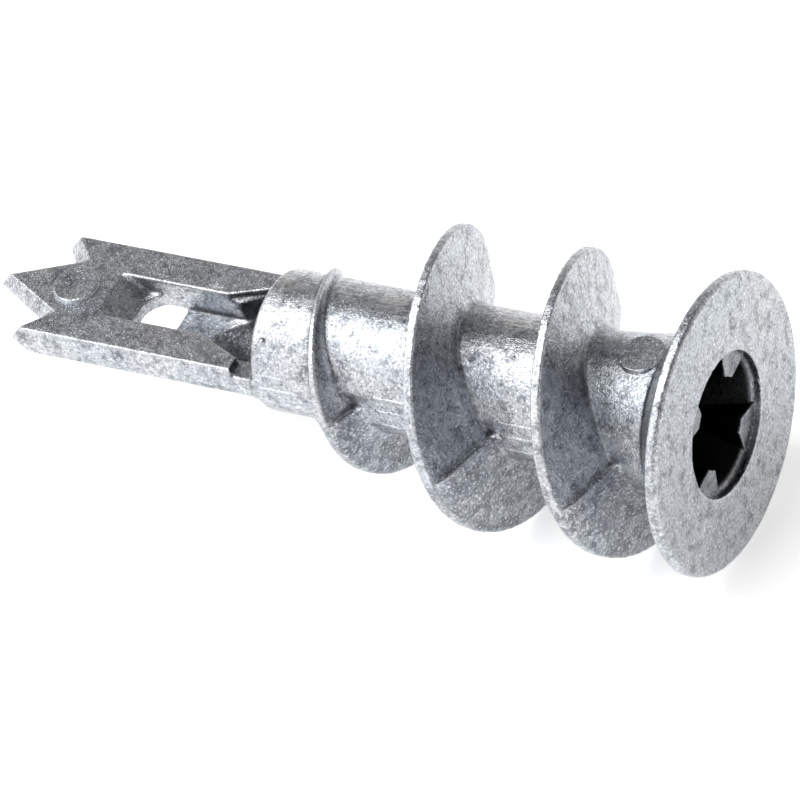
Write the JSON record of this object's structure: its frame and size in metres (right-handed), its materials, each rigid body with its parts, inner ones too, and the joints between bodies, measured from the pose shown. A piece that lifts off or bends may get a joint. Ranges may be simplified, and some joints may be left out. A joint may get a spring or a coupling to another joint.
{
  "type": "wall anchor",
  "caption": "Self-drilling plasterboard wall anchor: one zinc die casting with a thin round head, cross driver recess, three-turn coarse right-hand thread and a flat three-point drill blade with a window.",
  "frame": {"origin": "centre of the front face of the head, which ends flush with the wall surface", "axes": "+X along the anchor's axis, out of the wall; the drill blade lies in the XY plane, and +Z is normal to the blade"},
  "size_m": [0.0334, 0.0122, 0.0122],
  "materials": {
    "zinc": "as-cast zinc alloy, satin and mottled",
    "worn_zinc": "as-cast zinc alloy, slightly burnished"
  },
  "bodies": {
    "root": {"flange": "worn_zinc", "drive_rib_1": "worn_zinc", "drive_rib_2": "worn_zinc", "drive_rib_3": "worn_zinc", "drive_rib_4": "worn_zinc", "shank_collar": "zinc", "shank_barrel": "zinc", "shank_nose": "zinc", "seam_near": "worn_zinc", "seam_far": "worn_zinc", "lead_in_upper": "zinc", "lead_in_lower": "zinc", "second_turn_upper": "zinc", "second_turn_lower": "zinc", "third_turn_upper": "zinc", "third_turn_lower": "zinc", "arm_near": "zinc", "arm_far": "zinc", "tip_web": "zinc", "centre_point": "worn_zinc", "spur_near": "worn_zinc", "spur_far": "worn_zinc", "bridge": "zinc", "blade_pad": "worn_zinc", "collar_mark": "worn_zinc", "nose_nub": "worn_zinc"}
  },
  "joints": []
}
